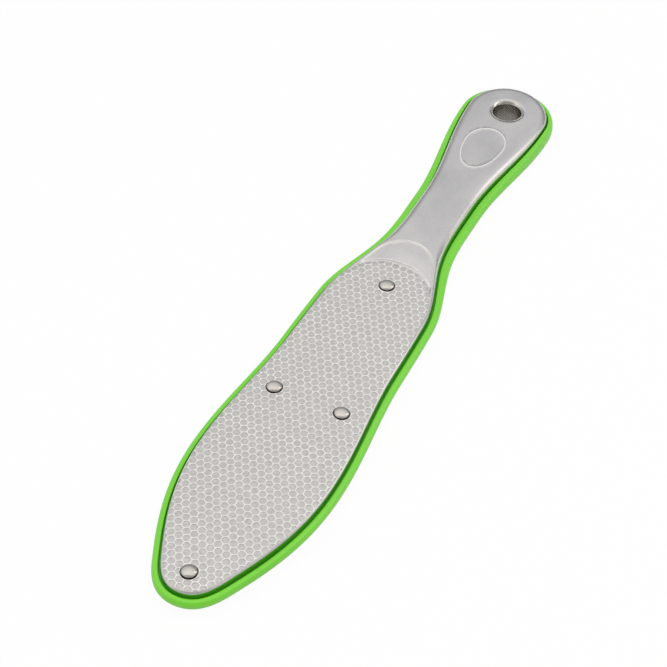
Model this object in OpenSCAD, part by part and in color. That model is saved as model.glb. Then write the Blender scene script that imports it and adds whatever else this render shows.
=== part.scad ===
// Double-sided foot file: a moulded core frame between two pressed steel shells,
// with a fine file plate on the front, a coarse one on the back, four through rivets
// and a steel eyelet in the hanging hole.
// Millimetres, +Z up, the handle towards +Y, lying on its back.
// The origin is under the middle of the length, on the surface that the file lies on.

/* [Outline of the steel, measured from its tip] */
// Distance to the end of the round nose
nose_at = 13.2; // [11:0.1:16]
// Half the width at the end of the round nose
nose_half = 12.4; // [11:0.1:14.5]
// Angle of the edge at the end of the round nose
nose_lean = 24; // [18:1:30]
// Distance to the widest place of the paddle
widest_at = 56; // [50:0.5:62]
// Half the width at the widest place
widest_half = 22.1; // [19:0.1:25]
// Distance to the waist of the paddle
waist_at = 106; // [98:0.5:112]
// Half the width at the waist
waist_half = 18.4; // [17:0.1:20]
// Angle of the edge at the waist
waist_lean = -1; // [-4:0.5:0]
// Distance to the heel of the paddle, where the plates' round ends begin
heel_at = 129.5; // [122:0.5:134]
// Half the width at the heel
heel_half = 17.8; // [16.5:0.1:19]
// Angle of the edge at the heel
heel_lean = -2.5; // [-6:0.5:0]
// Distance to the turn into the neck, where the arch under the handle begins
turn_at = 155; // [150:0.5:160]
// Half the width at the turn
turn_half = 11.4; // [10.5:0.1:13]
// Angle of the edge at the turn
turn_lean = -16; // [-20:0.5:-10]
// Distance to the middle of the neck
neck_at = 187; // [180:0.5:194]
// Half the width of the neck
neck_half = 8.75; // [7.5:0.05:10]
// Distance to the widest place of the handle
bulge_at = 238; // [230:0.5:241]
// Half the width of the handle there
bulge_half = 14.5; // [12.5:0.05:16]
// Length of the steel
steel_len = 253; // [250:0.5:262]

/* [Steel shells] */
// Thickness of the pressed sheet
sheet_t = 0.5; // [0.4:0.05:0.7]
// Radius of the rolled shoulder all round
shoulder_r = 1.4; // [1:0.1:1.6]
// Height of the plate seat above the middle plane
seat_level = 4; // [3.6:0.1:4.6]
// Height of the tongue at the neck above the middle plane
tongue_level = 5; // [4.8:0.1:5.2]
// Height of the handle above the middle plane
handle_level = 5.45; // [5.3:0.05:6]
// Radius of the crown across the whole tool
crown_r = 300; // [200:10:600]
// How far the nose droops at the tip
nose_droop = 1; // [0.5:0.1:1.5]
// Length over which the nose droops
droop_len = 28; // [22:1:40]
// Distance from the steel's tip to the top of the plates' round end
plate_arc_at = 151; // [148:0.2:154]
// Distance from the steel's tip to the top of the arch under the handle
arch_at = 161.8; // [160:0.2:168]
// Run of each pressed step, along the middle of the tool
step_run = 0.45; // [0.3:0.05:0.8]
// Squareness of the arches: 2 is an ellipse, more is squarer
arch_power = 2.5; // [2:0.1:3]

/* [File plates] */
// Thickness of a file plate
plate_t = 0.5; // [0.4:0.05:0.7]
// How far the shell shows outside a plate
plate_inset = 1.05; // [0.8:0.05:1.3]
// Clearance between a plate's round end and the step of its seat
plate_end_gap = 0.35; // [0.2:0.05:0.6]
// Clearance between a plate and the seat under it
seat_gap = 0.1; // [0.05:0.05:0.25]
// How far the edge of a plate is rolled down
plate_edge_drop = 0.28; // [0.1:0.02:0.35]
// Spacing of the hexagonal cells on the fine plate
fine_pitch = 2.626; // [2.2:0.01:3.4]
// Depth of the cells on the fine plate
fine_depth = 0.22; // [0.1:0.02:0.35]
// Distance from the fine plate's tip to its first row of cells
fine_first_row = 2.86; // [2.4:0.02:3.4]
// Spacing of the hexagonal cells on the coarse plate
coarse_pitch = 4.2; // [3.6:0.05:5.4]
// Depth of the cells on the coarse plate
coarse_depth = 0.34; // [0.2:0.02:0.4]
// Distance from the coarse plate's tip to its first row of cells
coarse_first_row = 3.4; // [3:0.1:4.2]

/* [Core frame] */
// Thickness of the web in the middle plane, which both shells stand on
web_t = 1.2; // [1:0.1:1.6]
// Width of the groove between the steel and the outer bead
groove_w = 0.6; // [0.5:0.05:0.9]
// How far the core reaches beyond the steel round the paddle and the handle
rim_w = 2.8; // [2.5:0.05:3.4]
// How far the core reaches beyond the steel at the neck
neck_rim_w = 3.3; // [2.8:0.05:3.8]
// Height of the outer bead round the paddle
bead_h = 3.3; // [2.8:0.1:4]
// Height of the outer bead round the handle
handle_bead_h = 6.2; // [5:0.1:7.4]
// How far the bead's outer side is rounded
bead_round = 1.3; // [1:0.05:1.4]
// Height of the rib inside the shells' walls, above the web
locating_rib_h = 0.9; // [0.5:0.1:1]
// Thickness of the core's ribs
rib_t = 1.3; // [1:0.1:2]
// Spacing of the cross ribs
rib_pitch = 22; // [16:1:30]
// Height of the spine and cross ribs above the web
rib_h = 2; // [1:0.1:2.1]
// Clearance between the core's ribs and the steel
core_gap = 0.2; // [0.1:0.05:0.3]
// Outer radius of the bosses round the rivets
boss_r = 3.6; // [3:0.1:4.5]

/* [Rivets] */
// Distance from the steel's tip to the nose rivet
nose_rivet_at = 6.8; // [6.4:0.1:10]
// Distance from the steel's tip to the pair of middle rivets
pair_rivet_at = 82.3; // [70:0.1:95]
// Distance of each middle rivet from the axis
pair_rivet_off = 11.7; // [8:0.1:13]
// Distance from the steel's tip to the heel rivet
heel_rivet_at = 139.4; // [132:0.1:143]
// Radius of a rivet's head
rivet_head_r = 2.4; // [2:0.05:2.8]
// Height of a rivet's head
rivet_head_h = 1.2; // [0.9:0.05:1.4]
// Radius of a rivet's shank
rivet_shank_r = 1.3; // [1:0.05:1.6]
// Clearance round a rivet's shank
rivet_gap = 0.1; // [0.05:0.05:0.2]

/* [Hanging hole] */
// Distance from the steel's tip to the hanging hole
hole_at = 239.6; // [236:0.1:241]
// Radius of the bore
bore_r = 4.7; // [4:0.05:5]
// Thickness of the eyelet's wall
eyelet_t = 0.45; // [0.35:0.05:0.6]
// Radius of the drawn dish in the shell round the eyelet
dish_r = 1.8; // [1.4:0.1:2]
// Angle over which the eyelet's lip is flared
eyelet_flare = 50; // [35:5:70]
// Clearance round the eyelet
eyelet_gap = 0.05; // [0.03:0.01:0.1]
// Wall of the core's boss round the eyelet
eyelet_boss_w = 1.9; // [1.2:0.1:2.6]

/* [Egg-shaped line on the handle] */
// Distance from the steel's tip to the narrow end of the egg
egg_at = 206; // [203:0.5:208]
// Length of the egg
egg_len = 22.5; // [18:0.5:24]
// Half the width of the egg
egg_half = 7.4; // [6:0.1:7.8]
// Place of the egg's widest part, as a share of its length
egg_balance = 0.62; // [0.5:0.01:0.7]
// Width of the pressed line
egg_line_w = 0.5; // [0.3:0.05:0.8]
// Height of the pressed line
egg_line_h = 0.14; // [0.08:0.02:0.3]

/* [Hidden] */
$fn = 48;

// Colours of the finishes
GREEN = [0.42, 0.83, 0.18];
STEEL = [0.74, 0.73, 0.74];
FILE_GREY = [0.78, 0.77, 0.76];
POLISHED = [0.86, 0.84, 0.8];

// The steel's tip lies here, so that the tool's length is centred along Y
tip_y = -steel_len / 2;

// Number of points on each stretch of the outline, and of columns across the shell
SEGMENTS = [4, 5, 4, 2, 3, 4, 5, 6];
COLUMNS = 8;

// The outline's knots: place, half width, angle of the edge
KNOTS = [
    [0, 0, 90],
    [nose_at, nose_half, nose_lean],
    [widest_at, widest_half, 0],
    [waist_at, waist_half, waist_lean],
    [heel_at, heel_half, heel_lean],
    [turn_at, turn_half, turn_lean],
    [neck_at, neck_half, 0],
    [bulge_at, bulge_half, 0],
    [steel_len, 0, -90]
];
// Length of a curve's handles as a share of its chord
HANDLE_SHARE = 0.36;
END_SHARE = 0.39;

// Number of the outline point at knot k
function knot_index(k) = k == 0 ? 0 : SEGMENTS[k - 1] + knot_index(k - 1);
HEEL_I = knot_index(4);
TURN_I = knot_index(5);
NECK_I = knot_index(6);
BULGE_I = knot_index(7);
LAST = knot_index(8);
RING = 2 * LAST;

// Point on a cubic curve through a and d with handles b and c
function cubic(a, b, c, d, t) =
    pow(1 - t, 3) * a + 3 * pow(1 - t, 2) * t * b + 3 * (1 - t) * t * t * c + pow(t, 3) * d;
function knot_point(k) = [KNOTS[k][1], tip_y + KNOTS[k][0]];
function knot_dir(k) = [sin(KNOTS[k][2]), cos(KNOTS[k][2])];
function handle_share(k) = k == 0 || k == len(KNOTS) - 2 ? END_SHARE : HANDLE_SHARE;
function stretch_point(k, t) =
    let (a = knot_point(k), d = knot_point(k + 1), reach = handle_share(k) * norm(d - a))
    cubic(a, a + reach * knot_dir(k), d - reach * knot_dir(k + 1), d, t);

// The steel's right-hand edge from tip to end, and its outward normals
EDGE = concat(
    [for (k = [0 : len(KNOTS) - 2]) for (i = [0 : SEGMENTS[k] - 1]) stretch_point(k, i / SEGMENTS[k])],
    [knot_point(len(KNOTS) - 1)]
);
function unit(v) = v / norm(v);
function edge_normal(i) =
    i == 0 ? [0, -1] : i == LAST ? [0, 1] :
    let (along = unit(unit(EDGE[i + 1] - EDGE[i]) + unit(EDGE[i] - EDGE[i - 1])))
    [along[1], -along[0]];
NORMALS = [for (i = [0 : LAST]) edge_normal(i)];

// The edge moved outwards by a distance, on the right-hand side
function edge_out(i, dist) = EDGE[i] + dist * NORMALS[i];
// A closed ring of points round the outline: up the right side and down the left
function ring_index(v) = v <= LAST ? v : RING - v;
function ring_point(v, dist, z) =
    let (p = edge_out(ring_index(v), dist))
    [v <= LAST ? p[0] : -p[0], p[1], z];

// Drop of the crowned and drooping surface at a place
function surface_drop(x, y) =
    let (from_tip = y - tip_y, short = max(0, droop_len - from_tip) / droop_len)
    x * x / (2 * crown_r) + nose_droop * short * short;
function seat_z(x, y) = seat_level - surface_drop(x, y);
function plate_top_z(x, y) = seat_z(x, y) + seat_gap + plate_t;

// Places of the rivets
RIVETS = [
    [0, tip_y + nose_rivet_at],
    [-pair_rivet_off, tip_y + pair_rivet_at],
    [pair_rivet_off, tip_y + pair_rivet_at],
    [0, tip_y + heel_rivet_at]
];
// A head sits on the highest place under it
function head_z(p) =
    let (x = max(0, abs(p[0]) - rivet_head_r))
    max([for (dy = [-rivet_head_r, 0, rivet_head_r]) plate_top_z(x, p[1] + dy)]);
// Height of the middle plane above the surface that the file lies on
mid_z = max(concat([handle_level], [for (p = RIVETS) head_z(p) + rivet_head_h]));

// Quads between two rings, and across the grid, as pairs of triangles
function quad(a, b, c, d) = [[a, b, c], [a, c, d]];
function flat(lists) = [for (group = lists) for (item = group) item];
function band(lower, upper) = flat([
    for (v = [0 : RING - 1])
        let (w = (v + 1) % RING)
        quad(lower * RING + v, upper * RING + v, upper * RING + w, lower * RING + w)
]);

// Cross lines of the pressed top: bowed, so that two of them follow the arches
APEX = [
    [0, 0], [knot_index(2), widest_at], [HEEL_I, plate_arc_at], [HEEL_I + 1, plate_arc_at + step_run],
    [TURN_I, arch_at], [TURN_I + 1, arch_at + step_run], [NECK_I, neck_at], [LAST, steel_len]
];
function signed_pow(v, power) = sign(v) * pow(abs(v), power);
function line_point(i, j) =
    let (
        rim = edge_out(i, -shoulder_r),
        angle = 180 * j / COLUMNS - 90,
        apex = tip_y + max(lookup(i, APEX), rim[1] - tip_y)
    )
    [rim[0] * signed_pow(sin(angle), 2 / arch_power),
     rim[1] + (apex - rim[1]) * pow(max(0, cos(angle)), 2 / arch_power)];
function inner_level(i) = i <= HEEL_I ? seat_level : i <= TURN_I ? tongue_level : handle_level;
function rim_level(i) =
    lookup(i, [[0, seat_level], [HEEL_I, seat_level], [TURN_I + 1, handle_level], [LAST, handle_level]]);
function rim_z(i) = let (p = edge_out(i, -shoulder_r)) rim_level(i) - surface_drop(p[0], p[1]);

// Points of a shell's rings: angle round the shoulder, and the side of the sheet
SHOULDER_ANGLES = [0, 30, 60, 90];
INNER_ANGLES = [90, 45, 0];
function shoulder_ring(angle, radius) = [
    for (v = [0 : RING - 1])
        ring_point(v, radius * sin(angle) - shoulder_r,
            rim_z(ring_index(v)) - shoulder_r + radius * cos(angle))
];
function foot_ring(dist) = [for (v = [0 : RING - 1]) ring_point(v, dist, web_t / 2)];
function grid_points(below) = [
    for (i = [1 : LAST - 1]) for (j = [1 : COLUMNS - 1])
        let (p = line_point(i, j))
        [p[0], p[1], inner_level(i) - surface_drop(p[0], p[1]) - below]
];
// Number of a grid point: the outermost columns lie on the ring
function grid_index(i, j, ring, first) =
    j == COLUMNS ? ring * RING + i : j == 0 ? ring * RING + RING - i :
    first + (i - 1) * (COLUMNS - 1) + j - 1;
function grid_faces(ring, first) = concat(
    [for (j = [0 : COLUMNS - 1])
        [ring * RING, grid_index(1, j, ring, first), grid_index(1, j + 1, ring, first)]],
    flat([for (i = [1 : LAST - 2]) for (j = [0 : COLUMNS - 1])
        quad(grid_index(i, j, ring, first), grid_index(i + 1, j, ring, first),
            grid_index(i + 1, j + 1, ring, first), grid_index(i, j + 1, ring, first))]),
    [for (j = [0 : COLUMNS - 1])
        [grid_index(LAST - 1, j, ring, first), ring * RING + LAST,
         grid_index(LAST - 1, j + 1, ring, first)]]
);
function reversed(faces) = [for (f = faces) [f[0], f[2], f[1]]];

// One pressed shell without its holes, standing on the middle plane
module pressed_sheet() {
    outer = [for (angle = SHOULDER_ANGLES) shoulder_ring(angle, shoulder_r)];
    inner = [for (angle = INNER_ANGLES) shoulder_ring(angle, shoulder_r - sheet_t)];
    rings = concat(outer, [foot_ring(0), foot_ring(-sheet_t)], inner);
    last_ring = len(rings) - 1;
    outer_first = len(rings) * RING;
    inner_first = outer_first + (LAST - 1) * (COLUMNS - 1);
    polyhedron(
        points = concat(flat(rings), grid_points(0), grid_points(sheet_t)),
        faces = concat(
            grid_faces(0, outer_first),
            flat([for (r = [0 : last_ring - 1]) band(r + 1, r)]),
            reversed(grid_faces(last_ring, inner_first))
        )
    );
}

// Radius of the circle that the dish's rounded edge is drawn round
DISH_RING_R = bore_r + eyelet_t + eyelet_gap + dish_r;

// The drawn dish round the hanging hole
module dish() {
    translate([0, tip_y + hole_at, handle_level - dish_r])
        rotate_extrude()
            translate([DISH_RING_R, 0])
                intersection() {
                    difference() {
                        circle(r = dish_r);
                        circle(r = dish_r - sheet_t);
                    }
                    translate([-dish_r, 0])
                        square(dish_r);
                }
}

// An egg's outline, narrow end first, grown by a distance
module egg(grow) {
    narrow_part = egg_len * egg_balance;
    function reach(angle) = (cos(angle) > 0 ? narrow_part : egg_len - narrow_part) + grow;
    polygon([
        for (angle = [0 : 10 : 350])
            [(egg_half + grow) * sin(angle), narrow_part - reach(angle) * cos(angle)]
    ]);
}

module egg_line() {
    translate([0, tip_y + egg_at, handle_level - sheet_t / 2])
        linear_extrude(sheet_t / 2 + egg_line_h)
            difference() {
                egg(0);
                egg(-egg_line_w);
            }
}

module rivet_holes() {
    for (p = RIVETS)
        translate([p[0], p[1], 0])
            cylinder(r = rivet_shank_r + rivet_gap, h = 2 * handle_level, center = true);
}

module shell() {
    difference() {
        union() {
            difference() {
                pressed_sheet();
                translate([0, tip_y + hole_at, web_t])
                    cylinder(r = DISH_RING_R - sheet_t / 2, h = handle_level);
            }
            dish();
            egg_line();
        }
        rivet_holes();
    }
}

// Half the plates' width along the straight sides, and the round end beyond the heel
function plate_side(i) =
    edge_out(i, -lookup(i, [[0, plate_inset], [knot_index(3), plate_inset],
        [HEEL_I, shoulder_r + plate_end_gap]]));
ARC_STEPS = 16;
PLATE_EDGE = concat(
    [for (i = [0 : HEEL_I]) plate_side(i)],
    [for (s = [1 : ARC_STEPS])
        let (angle = 90 * s / ARC_STEPS, heel = plate_side(HEEL_I), top = tip_y + plate_arc_at - plate_end_gap)
        [s == ARC_STEPS ? 0 : heel[0] * pow(cos(angle), 2 / arch_power),
         heel[1] + (top - heel[1]) * pow(sin(angle), 2 / arch_power)]]
);
PLATE_LAST = len(PLATE_EDGE) - 1;
PLATE_WIDTHS = [for (p = PLATE_EDGE) [p[1], p[0]]];

// Nearest point to p on the plate's right-hand edge
function on_segment(p, a, b) = a + min(1, max(0, (p - a) * (b - a) / ((b - a) * (b - a)))) * (b - a);
function nearest(p, points) =
    let (gaps = [for (q = points) norm(q - p)], least = min(gaps))
    points[search(least, gaps)[0]];
function snapped(p) =
    let (
        right = [abs(p[0]), p[1]],
        feet = [for (i = [1 : PLATE_LAST]) on_segment(right, PLATE_EDGE[i - 1], PLATE_EDGE[i])],
        q = nearest(right, feet)
    )
    [p[0] == 0 ? 0 : sign(p[0]) * q[0], q[1]];

function total(points, i = 0) = i == len(points) - 1 ? points[i] : points[i] + total(points, i + 1);
function mean(points) = total(points) / len(points);

// Least distance from a cell's centre to the plate's edge, as a share of the pitch
BORDER_SHARE = 0.3;
// Places of the underside's points, as shares of the half width
UNDER_SHARES = [-1, -0.5, 0, 0.5, 1];

// A file plate: a thin sheet whose top is a field of hexagonal cells
module file_plate(pitch, depth, first_row) {
    row_pitch = pitch * sqrt(3) / 2;
    corner = pitch / sqrt(3);
    margin = BORDER_SHARE * pitch;
    first_y = PLATE_EDGE[0][1] + first_row;
    rows = floor((PLATE_EDGE[PLATE_LAST][1] - margin - first_y) / row_pitch) + 1;
    // The last column of a row: columns count half pitches, and odd ones start the first row
    widths = [for (r = [0 : rows - 1])
        let (room = floor((lookup(first_y + r * row_pitch, PLATE_WIDTHS) - margin) * 2 / pitch))
        (room + r) % 2 == 1 ? room : room - 1];
    reach = max(widths) + 1;
    span = 2 * reach + 1;
    function inside(r, k) = r >= 0 && r < rows && abs(k) <= widths[r];
    // Corners lie on the zigzag lines between the rows
    function is_peak(line, k) = (line + k) % 2 == 0;
    function on_border(line, k) =
        is_peak(line, k)
            ? !(inside(line - 1, k) && inside(line, k - 1) && inside(line, k + 1))
            : !(inside(line, k) && inside(line - 1, k - 1) && inside(line - 1, k + 1));
    function lattice(line, k) =
        [k * pitch / 2, first_y + line * row_pitch + (is_peak(line, k) ? corner - row_pitch : -corner)];
    function node_point(line, k) = on_border(line, k) ? snapped(lattice(line, k)) : lattice(line, k);
    function raised(p, drop) = [p[0], p[1], plate_top_z(p[0], p[1]) - drop];
    corners = [for (line = [0 : rows]) for (k = [-reach : reach])
        raised(node_point(line, k), on_border(line, k) ? plate_edge_drop : 0)];
    function corner_index(line, k) = line * span + k + reach;
    function cell_ring(r, k) = [
        corner_index(r, k - 1), corner_index(r + 1, k - 1), corner_index(r + 1, k),
        corner_index(r + 1, k + 1), corner_index(r, k + 1), corner_index(r, k)
    ];
    cells = [for (r = [0 : rows - 1]) for (k = [-widths[r] : 2 : widths[r]]) cell_ring(r, k)];
    pits = [for (ring = cells) mean([for (v = ring) corners[v]]) - [0, 0, depth]];
    first_pit = len(corners);
    pit_faces = flat([for (c = [0 : len(cells) - 1])
        [for (s = [0 : 5]) [first_pit + c, cells[c][s], cells[c][(s + 1) % 6]]]]);
    // The border's corners from the tip to the end, on the right-hand side
    function walk(line, a, b) = [for (k = [a : (b > a ? 1 : -1) : b]) [line, k]];
    border = concat(
        walk(0, 0, widths[0] + 1),
        flat([for (line = [1 : rows - 1]) walk(line, widths[line - 1] + 1, widths[line] + 1)]),
        walk(rows, widths[rows - 1] + 1, 0)
    );
    count = len(border);
    across = len(UNDER_SHARES);
    first_under = first_pit + len(pits);
    under = [for (b = border) for (share = UNDER_SHARES)
        let (p = corners[corner_index(b[0], b[1])], x = p[0] * share)
        [x, p[1], seat_z(x, p[1]) + seat_gap]];
    function top_index(c, side) = corner_index(border[c][0], side * border[c][1]);
    // The first and the last border corner lie on the axis, so their row is one point
    function under_index(c, s) =
        first_under + c * across + (c == 0 || c == count - 1 ? (across - 1) / 2 : s);
    walls = flat([for (c = [0 : count - 2]) concat(
        quad(top_index(c, 1), top_index(c + 1, 1), under_index(c + 1, across - 1),
            under_index(c, across - 1)),
        quad(top_index(c, -1), under_index(c, 0), under_index(c + 1, 0), top_index(c + 1, -1)))]);
    floor_faces = flat([for (c = [0 : count - 2]) for (s = [0 : across - 2])
        quad(under_index(c, s), under_index(c, s + 1), under_index(c + 1, s + 1),
            under_index(c + 1, s))]);
    function proper(f) = f[0] != f[1] && f[1] != f[2] && f[2] != f[0];
    difference() {
        polyhedron(
            points = concat(corners, pits, under),
            faces = [for (f = concat(pit_faces, walls, floor_faces)) if (proper(f)) f]
        );
        rivet_holes();
    }
}

// The core's rings: distance outside the steel, and height
function core_rim(i) =
    lookup(i, [[0, rim_w], [HEEL_I, rim_w], [TURN_I, neck_rim_w], [NECK_I, neck_rim_w],
        [BULGE_I, rim_w], [LAST, rim_w]]);
function bead_top(i) =
    lookup(i, [[0, bead_h], [NECK_I, bead_h], [BULGE_I, handle_bead_h], [LAST, handle_bead_h]]) / 2;
// How far the bead's inner top edge is eased
CORNER_EASE = 0.3;
BEAD_ANGLES = [-90, -60, -30, 0, 30, 60, 90];
function bead_ring(angle) = [
    for (v = [0 : RING - 1])
        let (i = ring_index(v))
        ring_point(v, core_rim(i) - bead_round + bead_round * cos(angle), bead_top(i) * sin(angle))
];
// A ring on the bead's inner side, below or above its top edge
function lip_ring(dist, side, ease) =
    [for (v = [0 : RING - 1]) ring_point(v, dist, side * (bead_top(ring_index(v)) - ease))];
function web_ring(z) = [for (v = [0 : RING - 1]) ring_point(v, groove_w, z)];

module core_body() {
    rings = concat(
        [web_ring(-web_t / 2), lip_ring(groove_w, -1, CORNER_EASE),
         lip_ring(groove_w + CORNER_EASE, -1, 0)],
        [for (angle = BEAD_ANGLES) bead_ring(angle)],
        [lip_ring(groove_w + CORNER_EASE, 1, 0), lip_ring(groove_w, 1, CORNER_EASE),
         web_ring(web_t / 2)]
    );
    last_ring = len(rings) - 1;
    function strip(ring) = concat(
        [[ring * RING, ring * RING + RING - 1, ring * RING + 1]],
        flat([for (v = [1 : LAST - 2]) quad(ring * RING + v, ring * RING + RING - v,
            ring * RING + RING - v - 1, ring * RING + v + 1)]),
        [[ring * RING + LAST - 1, ring * RING + LAST + 1, ring * RING + LAST]]
    );
    polyhedron(
        points = flat(rings),
        faces = concat(
            reversed(strip(0)),
            flat([for (r = [0 : last_ring - 1]) band(r, r + 1)]),
            strip(last_ring)
        )
    );
}

module steel_outline(inset) {
    polygon([for (v = [0 : RING - 1]) let (p = ring_point(v, -inset, 0)) [p[0], p[1]]]);
}

module core_ribs() {
    inner = sheet_t + core_gap;
    linear_extrude(web_t + 2 * locating_rib_h, center = true)
        difference() {
            steel_outline(inner);
            steel_outline(inner + rib_t);
        }
    linear_extrude(web_t + 2 * rib_h, center = true)
        intersection() {
            steel_outline(inner + rib_t);
            union() {
                translate([-rib_t / 2, tip_y + droop_len])
                    square([rib_t, hole_at - droop_len]);
                for (y = [droop_len : rib_pitch : hole_at - rib_pitch])
                    translate([-widest_half, tip_y + y])
                        square([2 * widest_half, rib_t]);
            }
        }
}

module core_bosses() {
    for (p = RIVETS) {
        top = seat_z(abs(p[0]) + boss_r, p[1] - boss_r) - sheet_t - core_gap;
        translate([p[0], p[1], 0])
            cylinder(r = boss_r, h = 2 * top, center = true);
    }
    translate([0, tip_y + hole_at, 0])
        cylinder(r = bore_r + eyelet_t + core_gap + eyelet_boss_w,
            h = 2 * (handle_level - dish_r - core_gap), center = true);
}

module core_frame() {
    color(GREEN)
        translate([0, 0, mid_z])
            difference() {
                union() {
                    core_body();
                    core_ribs();
                    core_bosses();
                }
                rivet_holes();
                translate([0, tip_y + hole_at, 0])
                    cylinder(r = bore_r + eyelet_t + core_gap, h = 3 * handle_level, center = true);
            }
}

module front_shell() {
    color(STEEL)
        translate([0, 0, mid_z])
            shell();
}

module back_shell() {
    color(STEEL)
        translate([0, 0, mid_z])
            mirror([0, 0, 1])
                shell();
}

module fine_plate() {
    color(FILE_GREY)
        translate([0, 0, mid_z])
            file_plate(fine_pitch, fine_depth, fine_first_row);
}

module coarse_plate() {
    color(FILE_GREY)
        translate([0, 0, mid_z])
            mirror([0, 0, 1])
                file_plate(coarse_pitch, coarse_depth, coarse_first_row);
}

// The eyelet's flared lip, as a part of a ring round the dish
module lip_profile() {
    outer = dish_r + eyelet_gap + eyelet_t;
    translate([bore_r + outer, handle_level - dish_r])
        difference() {
            intersection() {
                circle(r = outer);
                polygon([[0, 0], [-2 * outer, 0], [-2 * outer, 2 * outer * tan(eyelet_flare)]]);
            }
            circle(r = dish_r + eyelet_gap);
        }
}

module hang_eyelet() {
    color(POLISHED)
        translate([0, tip_y + hole_at, mid_z])
            rotate_extrude() {
                translate([bore_r, dish_r - handle_level])
                    square([eyelet_t, 2 * (handle_level - dish_r)]);
                lip_profile();
                mirror([0, 1])
                    lip_profile();
            }
}

// Half a rivet's profile: the shank up to its head, and the domed head
module half_rivet_profile(head_base) {
    dome_r = (rivet_head_r * rivet_head_r + rivet_head_h * rivet_head_h) / (2 * rivet_head_h);
    square([rivet_shank_r, head_base]);
    intersection() {
        translate([0, head_base + rivet_head_h - dome_r])
            circle(r = dome_r);
        translate([0, head_base])
            square([rivet_head_r, rivet_head_h]);
    }
}

// One through rivet with a domed head at each end
module rivet(head_base) {
    rotate_extrude() {
        half_rivet_profile(head_base);
        mirror([0, 1])
            half_rivet_profile(head_base);
    }
}

module rivets() {
    color(POLISHED)
        for (p = RIVETS)
            translate([p[0], p[1], mid_z])
                rivet(head_z(p));
}

core_frame();
front_shell();
back_shell();
fine_plate();
coarse_plate();
hang_eyelet();
rivets();
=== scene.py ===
"""Dresses a double-sided foot file: pressed steel shells, honeycomb file plates, a moulded core.

The drawing's sizes are in millimetres. Its x runs across the tool, y from the steel's tip towards
the handle and z up from the middle plane. Finished meshes are in metres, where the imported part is.
"""
import logging
import math
from dataclasses import dataclass, field
from enum import Enum
from itertools import pairwise
from typing import Any, Iterable, Sequence

import bmesh
import bpy
import numpy as np
from mathutils import Matrix, Vector
from mathutils.geometry import delaunay_2d_cdt


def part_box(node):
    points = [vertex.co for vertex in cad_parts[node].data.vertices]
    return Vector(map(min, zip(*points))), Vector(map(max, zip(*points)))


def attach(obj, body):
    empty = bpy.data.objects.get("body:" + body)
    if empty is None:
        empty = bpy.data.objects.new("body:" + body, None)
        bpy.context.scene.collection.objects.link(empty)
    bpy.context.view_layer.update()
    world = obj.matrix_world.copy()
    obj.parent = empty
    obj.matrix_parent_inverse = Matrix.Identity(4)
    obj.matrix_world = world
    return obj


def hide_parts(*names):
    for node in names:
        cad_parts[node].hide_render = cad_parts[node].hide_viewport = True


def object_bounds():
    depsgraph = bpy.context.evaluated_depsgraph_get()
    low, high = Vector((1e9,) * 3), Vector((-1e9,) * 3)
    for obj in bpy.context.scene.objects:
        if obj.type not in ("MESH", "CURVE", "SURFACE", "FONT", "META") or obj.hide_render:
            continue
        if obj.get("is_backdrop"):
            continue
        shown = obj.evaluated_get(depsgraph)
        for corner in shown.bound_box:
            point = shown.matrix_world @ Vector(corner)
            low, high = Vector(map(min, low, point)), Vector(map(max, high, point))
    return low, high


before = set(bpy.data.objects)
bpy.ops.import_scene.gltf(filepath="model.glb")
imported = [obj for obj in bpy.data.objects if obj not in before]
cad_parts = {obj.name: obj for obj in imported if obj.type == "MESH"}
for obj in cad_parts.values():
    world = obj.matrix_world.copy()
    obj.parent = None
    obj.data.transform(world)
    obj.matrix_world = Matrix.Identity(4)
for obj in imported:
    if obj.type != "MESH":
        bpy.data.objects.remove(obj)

LOG = logging.getLogger("foot_file")
MM = 0.001
BODY = "root"
# The place of the plate's heel among the outline's knots
HEEL = 4.0
# The height of a row of triangles whose sides are 1
ROW_SHARE = 0.866
# How near points are one point, in the drawing and in a mesh
SAME_PLACE = 1e-6
SAME_CORNER = 2e-7
NO_LENGTH = 1e-8
# The turns of a rounded edge of sheet, down its outside and back up its inside
ROUND_OUTSIDE = [math.radians(turn) for turn in range(0, 91, 9)]
ROUND_INSIDE = [math.radians(turn) for turn in range(90, -1, -18)]
Triple = tuple[float, float, float]
Colour = Triple


class Slot(Enum):
    """The record's material slots."""

    CORE = "core_plastic"
    SHELL = "shell_steel"
    FILE = "file_steel"
    BRIGHT = "bright_steel"


class Side(Enum):
    """The side of the middle plane that a piece is on, as the sign of its z."""

    FRONT = 1
    BACK = -1


# Shapes of the drawing


@dataclass(frozen=True)
class Knot:
    """A place on the steel's outline.

    Attributes:
        at: distance from the tip.
        half: half the width there.
        lean: the edge's angle to the tool's axis, in degrees.
    """

    at: float
    half: float
    lean: float


def bezier(a: np.ndarray, b: np.ndarray, c: np.ndarray, d: np.ndarray, t: np.ndarray) -> np.ndarray:
    """Points at shares t of a cubic curve from a to d, with the handles b and c."""
    s = np.asarray(t)[:, None]
    return (1 - s) ** 3 * a + 3 * (1 - s) ** 2 * s * b + 3 * (1 - s) * s**2 * c + s**3 * d


def smooth_step(value: np.ndarray | float) -> np.ndarray:
    """A soft ramp from 0 to 1 as value goes from 0 to 1."""
    v = np.clip(value, 0.0, 1.0)
    return v * v * (3 - 2 * v)


def normals_along(points: np.ndarray) -> np.ndarray:
    """Unit normals on the right-hand side of a line of points that runs away from the tip.

    Args:
        points: the line's points, from the tip to the end.

    Returns:
        One outward normal for each point. The first and the last lie on the tool's axis.
    """
    along = np.gradient(points, axis=0)
    along /= np.linalg.norm(along, axis=1, keepdims=True)
    normals = np.c_[along[:, 1], -along[:, 0]]
    normals[0], normals[-1] = (0.0, -1.0), (0.0, 1.0)
    return normals


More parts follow.
